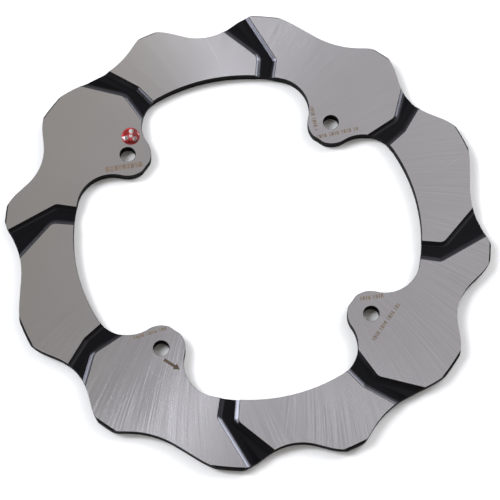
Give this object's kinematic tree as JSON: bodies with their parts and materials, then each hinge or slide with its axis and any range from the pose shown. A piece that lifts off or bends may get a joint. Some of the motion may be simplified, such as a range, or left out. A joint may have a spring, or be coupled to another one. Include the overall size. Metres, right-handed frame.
{
  "type": "brake disc rotor",
  "caption": "Fixed wave-edge brake disc in one piece: ground ring with bent grooves in both faces, hub ears with bolt holes, and a small round domed badge.",
  "frame": {"origin": "centre of the disc on its back face, the plane that the disc lies on", "axes": "+Z along the wheel axis from the back face to the front face that carries the badge; the hub ears lie on the diagonals between X and Y, and the badge is on the ear between -X and +Y"},
  "size_m": [0.24, 0.2412, 0.0061],
  "materials": {
    "disc_steel": "stainless steel, black coated all over and then ground bright on both faces, so the grooves, edges and holes stay black",
    "badge_print": "printed self-adhesive foil, red with a plain white pattern",
    "badge_resin": "clear domed resin"
  },
  "bodies": {
    "root": {"disc": "disc_steel", "badge_foil": "badge_print", "badge_dome": "badge_resin"}
  },
  "joints": []
}
